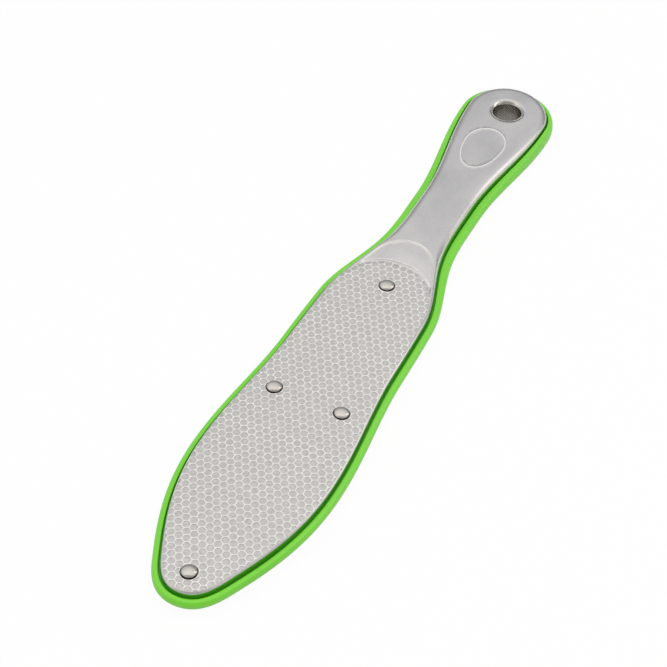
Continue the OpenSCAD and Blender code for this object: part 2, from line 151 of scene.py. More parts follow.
@dataclass(frozen=True)
class Edge:
    """Points along a right-hand edge from the tip to the end, both on the axis.

    Attributes:
        points: the places.
        normals: the outward directions.
        place: how far each is along the knots, in stretches.
    """

    points: np.ndarray
    normals: np.ndarray
    place: np.ndarray

    def moved(self, dist: np.ndarray | float) -> np.ndarray:
        """The edge's points moved outwards by a distance."""
        return self.points + np.broadcast_to(dist, self.place.shape)[:, None] * self.normals

    def along(self, places: Sequence[float], values: Sequence[float]) -> np.ndarray:
        """A value for each point, in straight runs between the given places."""
        return np.interp(self.place, places, values)


def closed(right: np.ndarray) -> np.ndarray:
    """A loop of a right-hand line, from the tip to the end on the axis, and its mirror image."""
    left = right[-2:0:-1] * ([-1] + [1] * (right.shape[1] - 1))
    return np.r_[right, left]


@dataclass(frozen=True)
class Outline:
    """The outline of the steel, which every piece follows."""

    knots: tuple[Knot, ...] = (
        Knot(0, 0, 90),
        Knot(13.2, 12.4, 24),
        Knot(56, 22.1, 0),
        Knot(106, 18.4, -1),
        Knot(129.5, 17.8, -2.5),
        Knot(155, 11.4, -16),
        Knot(187, 8.75, 0),
        Knot(238.5, 14.4, 0),
        Knot(253, 0, -90),
    )
    steps: tuple[int, ...] = (28, 30, 24, 12, 24, 24, 32, 40)
    reach: float = 0.36
    end_reach: float = 0.39

    def edge(self) -> Edge:
        """The right-hand edge as smooth points.

        Returns:
            The edge, with its normals and places.
        """
        points, places = [], []
        last = len(self.knots) - 2
        for k, steps in enumerate(self.steps):
            a, d = (np.array([n.half, n.at]) for n in self.knots[k : k + 2])
            share = (self.end_reach if k in (0, last) else self.reach) * np.linalg.norm(d - a)
            leans = np.radians([self.knots[k].lean, self.knots[k + 1].lean])
            start, end = (share * np.array([math.sin(n), math.cos(n)]) for n in leans)
            t = np.arange(steps + (k == last)) / steps
            points.append(bezier(a, a + start, d - end, d, t))
            places.append(k + t)
        line = np.concatenate(points)
        return Edge(line, normals_along(line), np.concatenate(places))


@dataclass(frozen=True)
class Crown:
    """The crown across the tool and the droop of its nose."""

    crown_r: float = 300.0
    nose_droop: float = 1.0
    droop_len: float = 28.0

    def drop(self, x: np.ndarray, y: np.ndarray) -> np.ndarray:
        """How far the surface lies below its level at each place."""
        short = np.maximum(0.0, self.droop_len - y) / self.droop_len
        return x * x / (2 * self.crown_r) + self.nose_droop * short**2


def distance_to(points: np.ndarray, line: np.ndarray) -> np.ndarray:
    """The least distance from each point to a line of straight pieces.

    Args:
        points: the places, as rows of x and y.
        line: the line's points, in order.

    Returns:
        One distance for each point.
    """
    best = np.full(len(points), np.inf)
    for a, b in zip(line[:-1], line[1:]):
        side = b - a
        t = np.clip((points - a) @ side / max(side @ side, 1e-12), 0, 1)
        best = np.minimum(best, np.linalg.norm(points - a - t[:, None] * side, axis=1))
    return best


def inside(points: np.ndarray, loop: np.ndarray) -> np.ndarray:
    """Whether each point lies inside a closed loop.

    Args:
        points: the places, as rows of x and y.
        loop: the loop's points, in order.

    Returns:
        True for each point inside.
    """
    result = np.zeros(len(points), bool)
    x, y = points.T
    for (x0, y0), (x1, y1) in zip(loop, np.roll(loop, -1, axis=0)):
        if y0 != y1:
            crosses = (y0 > y) != (y1 > y)
            result ^= crosses & (x < (x1 - x0) * (y - y0) / (y1 - y0) + x0)
    return result


def area(loop: np.ndarray) -> float:
    """The area inside a loop.

    Args:
        loop: rows of x and y, in order.

    Returns:
        The area, or 0 where fewer than three points are left.
    """
    if len(loop) < 3:
        return 0.0
    x, y = loop.T
    return 0.5 * abs(float((x * np.roll(y, -1) - y * np.roll(x, -1)).sum()))


def circle(centre: tuple[float, float], radius: float, count: int) -> np.ndarray:
    """Points round a circle, as rows of x and y."""
    turn = 2 * math.pi * np.arange(count) / count
    return np.c_[centre[0] + radius * np.cos(turn), centre[1] + radius * np.sin(turn)]


def fill(
    outer: np.ndarray,
    holes: Sequence[np.ndarray] = (),
    lines: Iterable[np.ndarray] = (),
    seeds: np.ndarray | None = None,
) -> tuple[np.ndarray, list[tuple[int, ...]]]:
    """Covers the inside of a loop with triangles.

    Args:
        outer: the loop round the region.
        holes: loops inside it that stay open.
        lines: lines that the triangles' sides follow.
        seeds: further corners.

    Returns:
        The points, as rows of x and y, and the triangles.
    """
    points: list[Vector] = []

    def numbered(line: np.ndarray) -> range:
        """Adds a line's points and gives their numbers."""
        first = len(points)
        points.extend(Vector(place) for place in line)
        return range(first, len(points))

    loops = [list(numbered(loop)) for loop in (outer, *holes)]
    edges = [pair for line in lines for pair in pairwise(numbered(line))]
    if seeds is not None:
        numbered(seeds)
    result = delaunay_2d_cdt(points, edges, loops, 0, SAME_PLACE)
    kept = [tuple(face) for face, origin in zip(result[2], result[5]) if list(origin) == [0]]
    return np.array([tuple(place) for place in result[0]]), kept


# Making meshes


@dataclass
class Mould:
    """Points and faces of one piece, in the drawing's millimetres."""

    points: list[np.ndarray] = field(default_factory=list)
    faces: list[tuple[int, ...]] = field(default_factory=list)
    finishes: list[int] = field(default_factory=list)
    count: int = 0

    def add(self, points: np.ndarray, faces: Iterable[Sequence[int]], finish: int = 0) -> None:
        """Adds points and the faces between them.

        Args:
            points: rows of x, y and z.
            faces: each face's corners, as numbers of these points.
            finish: the number of the finish that the faces take.
        """
        first = self.count
        self.points.append(np.asarray(points, float))
        self.count += len(points)
        for face in faces:
            self.faces.append(tuple(first + int(v) for v in face))
            self.finishes.append(finish)

    def loft(self, rings: Sequence[np.ndarray], finish: int = 0) -> None:
        """Adds the bands between closed rings of equal counts.

        Args:
            rings: rows of x, y and z for each ring, in order.
            finish: the number of the finish that the faces take.
        """
        size = len(rings[0])
        faces = []
        for first in range(0, (len(rings) - 1) * size, size):
            for v in range(size):
                after = (v + 1) % size
                faces.append((first + v, first + after, first + size + after, first + size + v))
        self.add(np.concatenate(rings), faces, finish)

    def revolve(
        self, profile: np.ndarray, centre: tuple[float, float], count: int = 64, finish: int = 0
    ) -> None:
        """Adds a profile, rows of radius and z, turned round an upright axis in count steps."""
        rings = [np.c_[circle(centre, r, count), np.full(count, z)] for r, z in profile]
        self.loft(rings, finish)

    def piece(
        self,
        name: str,
        finishes: Sequence["Finish"],
        side: Side = Side.FRONT,
        sharp: float = 50.0,
    ) -> bpy.types.Object:
        """Makes the object: joined up, facing outwards, smooth but for its sharp edges.

        Args:
            name: the piece's name.
            finishes: the finishes by number.
            side: the side of the middle plane that it lies on.
            sharp: the angle, in degrees, from which an edge stays crisp.

        Returns:
            The new object, riding on the tool's body.
        """
        low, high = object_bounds()
        tip_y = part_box("front_shell")[0][1]
        mid_z = (low[2] + high[2]) / 2
        points = np.concatenate(self.points) * ([MM, MM, MM * side.value]) + [0, tip_y, mid_z]
        mesh = bpy.data.meshes.new(name)
        mesh.from_pydata(points.tolist(), [], self.faces)
        mesh.polygons.foreach_set("material_index", self.finishes)
        work = bmesh.new()
        work.from_mesh(mesh)
        bmesh.ops.remove_doubles(work, verts=work.verts, dist=SAME_CORNER)
        bmesh.ops.dissolve_degenerate(work, edges=work.edges, dist=NO_LENGTH)
        bmesh.ops.recalc_face_normals(work, faces=work.faces)
        limit = math.radians(sharp)
        for edge in work.edges:
            edge.smooth = edge.calc_face_angle(0.0) < limit
        for face in work.faces:
            face.smooth = True
        work.to_mesh(mesh)
        work.free()
        for finish in finishes:
            mesh.materials.append(finish.material())
        piece = bpy.data.objects.new(name, mesh)
        bpy.context.scene.collection.objects.link(piece)
        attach(piece, BODY)
        return piece


# Finishes


def feed(node: bpy.types.Node, inputs: dict[str | int, Any]) -> bpy.types.Node:
    """Fills a node's inputs.

    Args:
        node: the node.
        inputs: each input's name or number, with its value or the socket that feeds it.

    Returns:
        The same node.
    """
    for key, value in inputs.items():
        if isinstance(value, bpy.types.NodeSocket):
            node.id_data.links.new(value, node.inputs[key])
        else:
            node.inputs[key].default_value = value
    return node


@dataclass(frozen=True)
class Grain:
    """A layer of noise over a piece.

    Attributes:
        per_metre: how many grains there are in a metre along x, y and z.
        detail: the number of finer layers.
        roughness: the strength of the finer layers.
        height: the relief that it gives, in metres.
    """

    per_metre: Triple
    detail: float = 2.0
    roughness: float = 0.5
    height: float = 0.0


class Recipe:
    """A material's nodes while it is being made."""

    def __init__(self, name: str) -> None:
        """Starts a material with a shader and the places on the object."""
        self.material = bpy.data.materials.new(name)
        self.material.use_nodes = True
        self.nodes = self.material.node_tree.nodes
        self.shader = self.nodes["Principled BSDF"]
        self.places = self.nodes.new("ShaderNodeTexCoord").outputs["Object"]
        self.grains: dict[Grain, bpy.types.NodeSocket] = {}

    def noise(self, grain: Grain) -> bpy.types.NodeSocket:
        """The grain's noise, made at its first use.

        Args:
            grain: the grain.

        Returns:
            The socket with values from 0 to 1, mostly near the middle.
        """
        if grain not in self.grains:
            mapping = self.nodes.new("ShaderNodeMapping")
            feed(mapping, {"Vector": self.places, "Scale": grain.per_metre})
            layers = {"Scale": 1.0, "Detail": grain.detail, "Roughness": grain.roughness}
            texture = self.nodes.new("ShaderNodeTexNoise")
            feed(texture, {"Vector": mapping.outputs[0], **layers})
            self.grains[grain] = texture.outputs["Fac"]
        return self.grains[grain]

    def spread(self, grain: Grain, low: float, high: float) -> bpy.types.NodeSocket:
        """The middle values of the grain's noise, spread from low to high.

        Args:
            grain: the grain.
            low: what the lower middle values become.
            high: what the upper middle values become.

        Returns:
            The socket with the new values.
        """
        limits = {"From Min": 0.3, "From Max": 0.7, "To Min": low, "To Max": high}
        node = self.nodes.new("ShaderNodeMapRange")
        return feed(node, {"Value": self.noise(grain), **limits}).outputs["Result"]

    def colour(self, first: Colour, second: Colour, drift: Grain) -> None:
        """Gives the shader a colour that drifts from the first to the second.

        Args:
            first: the one colour.
            second: the other colour.
            drift: the noise that says where each is.
        """
        node = self.nodes.new("ShaderNodeMix")
        node.data_type = "RGBA"
        ends = {"A": (*first, 1.0), "B": (*second, 1.0)}
        feed(node, {"Factor": self.spread(drift, 0.0, 1.0), **ends})
        feed(self.shader, {"Base Color": node.outputs["Result"]})

    def bumps(self, layers: Sequence[Grain]) -> None:
        """Gives the shader its fine relief, each layer on the one before.

        Args:
            layers: the grains, each with its height.
        """
        below: dict[str, Any] = {}
        for grain in layers:
            relief = {"Height": self.noise(grain), "Strength": 1.0, "Distance": grain.height}
            node = feed(self.nodes.new("ShaderNodeBump"), {**relief, **below})
            below = {"Normal": node.outputs["Normal"]}
        feed(self.shader, below)


@dataclass(frozen=True)
class Finish:
    """A finish, whose material is made once.

    Attributes:
        name: the material's name.
        colour: its colour.
        second: the colour that it drifts to.
        gloss: the least and the most roughness.
        drift: the noise between the two colours.
        polish: the noise of the roughness.
        relief: the layers of fine relief.
        metal: how metallic it is.
    """

    name: str
    colour: Colour
    second: Colour
    gloss: tuple[float, float]
    drift: Grain
    polish: Grain
    relief: tuple[Grain, ...]
    metal: float = 1.0

    def material(self) -> bpy.types.Material:
        """Makes the finish's material at its first use.

        Returns:
            The material.
        """
        found = bpy.data.materials.get(self.name)
        if found is None:
            recipe = Recipe(self.name)
            feed(recipe.shader, self.constants())
            recipe.colour(self.colour, self.second, self.drift)
            feed(recipe.shader, {"Roughness": recipe.spread(self.polish, *self.gloss)})
            recipe.bumps(self.relief)
            found = recipe.material
        return found

    def constants(self) -> dict[str, float]:
        """The shader's values that are the same all over."""
        return {"Metallic": self.metal}


@dataclass(frozen=True)
class MouldedPlastic(Finish):
    """A satin moulded plastic: slight waves under a thin coat, and a very fine grain."""

    gloss: tuple[float, float] = (0.36, 0.46)
    drift: Grain = Grain((45.0, 30.0, 45.0))
    polish: Grain = Grain((3200.0, 3200.0, 3200.0), height=1.2e-5)
    relief: tuple[Grain, ...] = (Grain((260.0, 120.0, 260.0), 1.0, height=3e-5), polish)
    specular: float = 0.8
    coat: float = 0.3
    coat_roughness: float = 0.35

    def constants(self) -> dict[str, float]:
        """The strength of its shine, and its coat."""
        coat = {"Coat Weight": self.coat, "Coat Roughness": self.coat_roughness}
        return {"Specular IOR Level": self.specular, **coat}


@dataclass(frozen=True)
class SatinSteel(Finish):
    """Pressed stainless steel: polishing lines along the tool over soft clouds."""

    gloss: tuple[float, float] = (0.24, 0.34)
    drift: Grain = Grain((75.0, 45.0, 75.0), 4.0, 0.6)
    polish: Grain = Grain((2600.0, 160.0, 2600.0), 3.0, 0.6, 2.5e-6)
    relief: tuple[Grain, ...] = (
        Grain((120.0, 60.0, 120.0), 1.0, height=4.5e-5),
        polish,
        Grain((5200.0, 5200.0, 5200.0), 1.0, height=1.5e-6),
    )


@dataclass(frozen=True)
class EtchedSteel(Finish):
    """The matt floor of a file cell: tiny pits, and a slight spread of tone from cell to cell."""

    gloss: tuple[float, float] = (0.44, 0.6)
    drift: Grain = Grain((950.0, 950.0, 950.0), 3.0, 0.65)
    polish: Grain = Grain((6500.0, 6500.0, 6500.0), 3.0, 0.7, 2.2e-5)
    relief: tuple[Grain, ...] = (polish,)
    metal: float = 0.7


@dataclass(frozen=True)
class BrightSteel(Finish):
    """Polished steel with hairline scratches, for rivets, the eyelet and the cells' ridges; other
    instances paint the highlight on the shell's lines and, in dark tones, the shade in the dimples
    and the eyelet's bore.
    """

    gloss: tuple[float, float] = (0.15, 0.26)
    drift: Grain = Grain((300.0, 300.0, 300.0), height=8e-6)
    polish: Grain = Grain((3800.0, 500.0, 3800.0), 3.0, 0.7, 1.5e-6)
    relief: tuple[Grain, ...] = (drift, polish)


GREEN = MouldedPlastic("green_plastic", (0.165, 0.69, 0.012), (0.185, 0.73, 0.016))
# A darker green on the groove's faces: painted shade of the deep groove
GROOVE_SHADE = MouldedPlastic("green_groove_painted_shade", (0.055, 0.4, 0.003), (0.065, 0.44, 0.004), (0.5, 0.6))
STEEL = SatinSteel("satin_steel", (0.62, 0.611, 0.613), (0.76, 0.746, 0.738))
CELL_FLOOR = EtchedSteel("etched_cell", (0.57, 0.565, 0.555), (0.72, 0.713, 0.702))
# Polished crests of the cells; on the shell's steps and egg line the same bright finish is a painted
# highlight
RIDGE_AND_HIGHLIGHT = BrightSteel(
    "bright_ridge_and_painted_highlight", (0.86, 0.853, 0.84), (0.92, 0.913, 0.9), (0.35, 0.46), metal=0.45
)
# A near-black steel: painted shade in the rivets' dimples and in the gap at the plate's edge
SHADE_STEEL = BrightSteel("painted_shade_steel", (0.16, 0.152, 0.145), (0.22, 0.21, 0.2), (0.37, 0.48))
# A darker steel for the eyelet's bore: painted shade inside the hole
BORE_SHADE = BrightSteel("bore_painted_shade", (0.4, 0.38, 0.355), (0.46, 0.44, 0.415), (0.2, 0.31))
POLISHED = BrightSteel("polished_steel", (0.64, 0.615, 0.575), (0.71, 0.685, 0.645))


# Sub-assemblies


@dataclass(frozen=True)
class Hole:
    """The hanging hole: its place, its eyelet's bore and the dish drawn round it."""

    at: float = 239.0
    bore_r: float = 4.7
    eyelet_t: float = 0.3
    eyelet_gap: float = 0.05
    dish_r: float = 1.6

    @property
    def ring_r(self) -> float:
        """Radius of the circle that the dish's round edge is drawn round."""
        return self.bore_r + self.eyelet_t + self.eyelet_gap + self.dish_r

    @property
    def centre(self) -> tuple[float, float]:
        """The hole's x and y."""
        return 0.0, self.at

    def ring(self, radius: float, count: int = 96) -> np.ndarray:
        """Points round the hole's axis, as rows of x and y."""
        return circle(self.centre, radius, count)


@dataclass(frozen=True)
class Levels:
    """Heights of the pressed surfaces above the middle plane, before the crown's drop.

    Attributes:
        web: the core's web.
        seat: the plate's seat.
        handle: the handle.
        crown: the drop of each place below its level.
        sheet_t: the thickness of the pressed sheet and of the plates.
    """

    web: float = 0.6
    seat: float = 4.0
    handle: float = 5.45
    crown: Crown = Crown()
    sheet_t: float = 0.5

    def seat_z(self, x: np.ndarray, y: np.ndarray) -> np.ndarray:
        """Height of the plate's seat at each place."""
        return self.seat - self.crown.drop(x, y)


@dataclass(frozen=True)
class RivetPlaces:
    """Where the four rivets are, and the size of their shanks and holes."""

    nose: float = 6.8
    pair: float = 82.3
    pair_off: float = 11.7
    heel: float = 139.4
    shank_r: float = 1.3
    gap: float = 0.1

    def centres(self) -> list[tuple[float, float]]:
        """Each rivet's x and y."""
        pair = [(x, self.pair) for x in (-self.pair_off, self.pair_off)]
        return [(0.0, self.nose), *pair, (0.0, self.heel)]

    def holes(self, count: int = 24) -> list[np.ndarray]:
        """The loops of the rivet holes."""
        return [circle(c, self.shank_r + self.gap, count) for c in self.centres()]


@dataclass(frozen=True)
class HeelArc:
    """The plate's round end and the step that it nests in: a rounded arc over the plate's heel."""

    top: float = 151.0
    power: float = 2.3

    def over(self, heel: np.ndarray, gap: float, turns: np.ndarray) -> np.ndarray:
        """Points of the arc.

        Args:
            heel: the end of the arc on the right, as half the width and the place along the tool.
            gap: how far below the arc's top the line stays.
            turns: angles from the tool's axis, in radians.

        Returns:
            Rows of x and y.
        """
        share = 2 / self.power
        across = heel[0] * np.sign(turns) * np.abs(np.sin(turns)) ** share
        rise = self.top - gap - heel[1]
        return np.c_[across, heel[1] + rise * np.abs(np.cos(turns)) ** share]


@dataclass
class PressedShell:
    """One pressed sheet: rolled shoulder, plate seat, tongue, handle, dish and egg-shaped line."""

    edge: Edge
    levels: Levels
    hole: Hole
    rivets: RivetPlaces
    arc: HeelArc
    paddle_shoulder: float = 0.6
    handle_shoulder: float = 2.8
    handle_shoulder_h: float = 2.2
    neck_shoulders: tuple[float, float] = (0.8, 1.3)
    skirt_h: float = 0.25
    wall_run: float = 0.5
    # How wide, as a share of its run, the band of painted highlight on the pocket's wall is
    wall_highlight_share: float = 0.3
    wall_guard: float = 0.1
    arc_run: float = 0.45
    # How wide, as a share of its run, the band of painted highlight on the heel arc's step is
    arc_highlight_share: float = 0.5
    pocket_depth: float = 0.4
    pocket_places: tuple[float, float] = (4.05, 4.97)
    arch_at: float = 161.8
    arch_handles: tuple[float, float] = (4.0, 6.0)
    arc_from: float = 146.0
    arc_margin: float = 4.0
    rim_rise: tuple[float, float] = (136.5, 157.5)
    egg_at: float = 205.3
    egg_len: float = 22.0
    egg_half: float = 7.0
    egg_balance: float = 0.62
    egg_line_half: float = 0.21
    egg_line_h: float = 0.07
    dish_guard: float = 0.6
    seed_pitches: tuple[Triple, ...] = ((3.0, 0.0, 128.0), (1.1, 128.0, 253.0))
    seed_half: float = 24.0
    clear_of_rim: float = 1.2
    clear_of_line: float = 0.45

    @property
    def heel(self) -> np.ndarray:
        """The x and y of the plate's heel on the top, where the shoulder starts."""
        return self.edge.points[self.edge.place == HEEL][0] - [self.paddle_shoulder, 0]

    def shoulder(self) -> np.ndarray:
        """The rolled shoulder's width at each point of the edge.

        Returns:
            One width for each point.
        """
        small, large = self.paddle_shoulder, self.handle_shoulder
        widths = [small, small, *self.neck_shoulders, large, large]
        return self.edge.along([0, HEEL, 4.3, 5, 5.3, 8], widths)

    def shoulder_h(self) -> np.ndarray:
        """The rolled shoulder's height at each point of the edge."""
        small, large = self.paddle_shoulder, self.handle_shoulder_h
        return self.edge.along([0, 4.3, 5, 8], [small, small, large, large])

    def pocket_line(self, further: float = 0.0) -> np.ndarray:
        """The line of the pocket that the tongue lies in, as an open line from right to left.

        Args:
            further: how far inside the pocket's own line it runs.

        Returns:
            Its points, up the right-hand side, over the arch and down the left.
        """
        inset = self.edge.moved(-self.shoulder() - 1.5 * self.wall_guard - further)
        first, last = self.pocket_places
        side = inset[(self.edge.place >= first) & (self.edge.place <= last)]
        lean = side[-1] - side[-2]
        lean /= np.linalg.norm(lean)
        top = np.array([0.0, self.arch_at - further])
        low, high = self.arch_handles
        handles = side[-1] + low * lean, top + [high, 0.0]
        arch = bezier(side[-1], *handles, top, np.linspace(0, 1, 29)[1:])
        right = np.r_[side, arch]
        return np.r_[right, right[-2::-1] * [-1, 1]]

    def arc_line(self, grow: float = 0.0) -> np.ndarray:
        """The step at the plate's round end, as an open line from right to left.

        Args:
            grow: how far outside the step's own line it runs.

        Returns:
            Its points over the arch, without the ends beside the plate.
        """
        turns = np.radians(np.linspace(90, -90, 97))
        line = self.arc.over(self.heel + [grow, 0], -grow, turns)
        return line[line[:, 1] > self.arc_from]

    def egg(self, grow: float = 0.0) -> np.ndarray:
        """The egg-shaped line, closed, narrow end first.

        Args:
            grow: how far outside the line's middle it runs.

        Returns:
            Rows of x and y.
        """
        turn = 2 * math.pi * np.arange(121) / 120
        narrow = self.egg_len * self.egg_balance
        reach = np.where(np.cos(turn) > 0, narrow, self.egg_len - narrow) + grow
        along = self.egg_at + narrow - reach * np.cos(turn)
        return np.c_[(self.egg_half + grow) * np.sin(turn), along]

    def height(self, places: np.ndarray) -> np.ndarray:
        """Height of the pressed top above the middle plane.

        Args:
            places: rows of x and y.

        Returns:
            One height for each place.
        """
        x, y = places.T
        seat, handle = self.levels.seat, self.levels.handle
        low, high = self.rim_rise
        rim = seat + (handle - seat) * smooth_step((y - low) / (high - low))
        arc, power = self.arc_line(), self.arc.power
        half, heel_y = self.heel
        span = np.abs(x / half) ** power
        span += (np.maximum(0, y - heel_y) / (self.arc.top - heel_y)) ** power
        beyond = (span > 1) & (y > arc[0, 1] - self.arc_margin)
        past = np.where(beyond, distance_to(places, arc), 0.0)
        rest = np.maximum(0.0, rim - self.pocket_depth - seat)
        inner = seat + rest * smooth_step(past / self.arc_run)
        pocket = self.pocket_line()
        wall = smooth_step(distance_to(places, pocket) / self.wall_run)
        deep = np.where(inside(places, pocket), wall, 0.0)
        level = np.where(y < pocket[0, 1], inner, rim + (inner - rim) * deep)
        egg = np.minimum(distance_to(places, self.egg()) / self.egg_line_half, 1)
        line = 0.5 + 0.5 * np.cos(math.pi * egg)
        return level + self.egg_line_h * line - self.levels.crown.drop(x, y)

    def is_step(self, places: np.ndarray) -> np.ndarray:
        """Whether each place lies inside the pocket and outside the plate's round end.

        Args:
            places: rows of x and y.

        Returns:
            True for each place on the tongue.
        """
        half, heel_y = self.heel + [self.paddle_shoulder, 0]
        arc = np.r_[self.arc_line(), [[-half, heel_y], [half, heel_y]]]
        return inside(places, self.pocket_line()) & ~inside(places, arc)

    def top(self) -> tuple[np.ndarray, list[tuple[int, ...]]]:
        """Covers the pressed top with triangles.

        Returns:
            Its points and its triangles.
        """
        start = closed(self.edge.moved(-self.shoulder()))
        dish = self.hole.ring(self.hole.ring_r)
        lines = []
        for draw, run in ((self.pocket_line, self.wall_run), (self.arc_line, self.arc_run)):
            steps = [share * run for share in (0, 0.25, 0.5, 0.75, 1)]
            lines += [draw(d) for d in (-self.wall_guard, *steps, run + self.wall_guard)]
        lines += [self.egg(share * self.egg_line_half) for share in (-1, -0.5, 0, 0.5, 1)]
        lines.append(self.hole.ring(self.hole.ring_r + self.dish_guard, 97))
        seeds = self.seeds(start, dish, lines)
        flat, faces = fill(start, [dish, *self.rivets.holes()], lines, seeds)
        return np.c_[flat, self.height(flat)], faces

    def seeds(self, start: np.ndarray, dish: np.ndarray, lines: list[np.ndarray]) -> np.ndarray:
        """Corners spread over the top, finer on the handle.

        Args:
            start: the shoulder's starting loop.
            dish: the dish's loop.
            lines: the lines that the triangles follow.

        Returns:
            The corners, clear of every line.
        """
        spots = []
        for pitch, low, high in self.seed_pitches:
            rows = np.arange(low, high, pitch * ROW_SHARE)
            columns = np.arange(-self.seed_half, self.seed_half, pitch)
            x, y = np.meshgrid(columns, rows)
            x = x + (np.arange(len(rows)) % 2)[:, None] * pitch / 2
            spots.append(np.c_[x.ravel(), y.ravel()])
        spots = np.concatenate(spots)
        spots = spots[inside(spots, start) & ~inside(spots, dish)]
        loops = [np.r_[loop, loop[:1]] for loop in (start, dish, *self.rivets.holes())]
        for line in [*loops, *lines]:
            clear = self.clear_of_rim if line is loops[0] else self.clear_of_line
            spots = spots[distance_to(spots, line) > clear]
        return spots

    def rim_z(self) -> np.ndarray:
        """Height of the shoulder's start at each point of the right-hand edge."""
        return self.height(self.edge.moved(-self.shoulder()))

    def foot_z(self) -> np.ndarray:
        """Height of the skirt's lower edge at each point of the right-hand edge."""
        return self.rim_z() - self.shoulder_h() - self.skirt_h

    def build(self, name: str, side: Side) -> bpy.types.Object:
        """Makes the shell.

        Args:
            name: the piece's name.
            side: the side of the tool that it covers.

        Returns:
            The shell as an object.
        """
        mould = Mould()
        points, faces = self.top()
        centres = np.array([points[list(face), :2].mean(axis=0) for face in faces])
        # Faces on the steps' edges and on the egg's line take the bright finish, a painted highlight
        highlighted = self.is_painted_highlight(centres)
        mould.add(points, [face for face, is_on in zip(faces, highlighted) if not is_on])
        mould.add(points, [face for face, is_on in zip(faces, highlighted) if is_on], 1)
        mould.add(points - [0, 0, self.levels.sheet_t], faces)
        self.shoulders(mould)
        self.dish(mould)
        for hole in self.rivets.holes():
            z = self.height(hole)
            mould.loft([np.c_[hole, z], np.c_[hole, z - self.levels.sheet_t]])
        piece = mould.piece(name, [STEEL, RIDGE_AND_HIGHLIGHT], side, sharp=60)
        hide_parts(name)
        return piece

    def is_painted_highlight(self, centres: np.ndarray) -> np.ndarray:
        """Whether each face takes the painted highlight: the bright finish on a step's edge or on
        the egg's line.

        Args:
            centres: the faces' centres, as rows of x and y.

        Returns:
            True for each face with the painted highlight.
        """
        walls = (
            (self.pocket_line(), self.wall_run, self.wall_highlight_share),
            (self.arc_line(), self.arc_run, self.arc_highlight_share),
        )
        highlighted = np.zeros(len(centres), bool)
        for line, run, share in walls:
            highlighted |= np.abs(distance_to(centres, line) - run / 2) < run * share
        highlighted &= (centres[:, 1] > self.arc_from) & self.is_step(centres)
        return highlighted | (distance_to(centres, self.egg()) < self.egg_line_half)

    def shoulders(self, mould: Mould) -> None:
        """Adds the rolled shoulder and the skirt below it, outside and inside.

        Args:
            mould: the shell's mesh so far.
        """
        width, height, rim_z = self.shoulder(), self.shoulder_h(), self.rim_z()

        def ring(turn: float, thin: float) -> np.ndarray:
            """A ring round the shoulder, thin inside its outer face."""
            line = self.edge.moved((width - thin) * math.sin(turn) - width)
            return closed(np.c_[line, rim_z - height + (height - thin) * math.cos(turn)])

        sheet_t = self.levels.sheet_t
        outer = [ring(turn, 0.0) for turn in ROUND_OUTSIDE]
        feet = [closed(np.c_[self.edge.moved(-thin), self.foot_z()]) for thin in (0.0, sheet_t)]
        inner = [ring(turn, sheet_t) for turn in ROUND_INSIDE]
        mould.loft([*outer, *feet, *inner])

    def dish(self, mould: Mould) -> None:
        """Adds the drawn dish, both faces and the edge between them.

        Args:
            mould: the shell's mesh so far.
        """
        z = self.height(self.hole.ring(self.hole.ring_r))
        r = self.hole.dish_r

        def ring(turn: float, radius: float) -> np.ndarray:
            """A ring of the dish's round edge."""
            line = self.hole.ring(self.hole.ring_r - radius * math.sin(turn))
            return np.c_[line, z - r + radius * math.cos(turn)]

        outer = [ring(turn, r) for turn in ROUND_OUTSIDE]
        mould.loft([*outer, *(ring(turn, r - self.levels.sheet_t) for turn in ROUND_INSIDE)])


